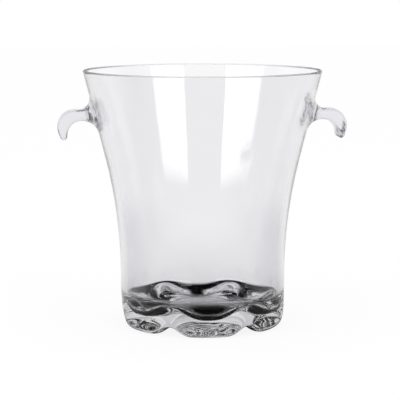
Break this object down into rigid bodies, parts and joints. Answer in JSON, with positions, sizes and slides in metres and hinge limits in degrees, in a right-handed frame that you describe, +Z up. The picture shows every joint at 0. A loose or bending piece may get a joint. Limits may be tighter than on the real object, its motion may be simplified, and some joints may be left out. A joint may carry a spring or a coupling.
{
  "type": "ice bucket",
  "caption": "Clear flared ice bucket on a scalloped foot, with an open hook handle high on each side.",
  "frame": {"origin": "centre of the bottom, on the plane that the feet stand on", "axes": "+Z up through the open mouth, +X towards the right handle, -Y towards the front foot"},
  "size_m": [0.26, 0.2134, 0.23],
  "materials": {
    "clear_wall": "gloss",
    "clear_base": "gloss",
    "clear_handles": "gloss"
  },
  "bodies": {
    "root": {"vessel": "clear_wall", "scalloped_base": "clear_base", "handle_left": "clear_handles", "handle_right": "clear_handles"}
  },
  "joints": []
}
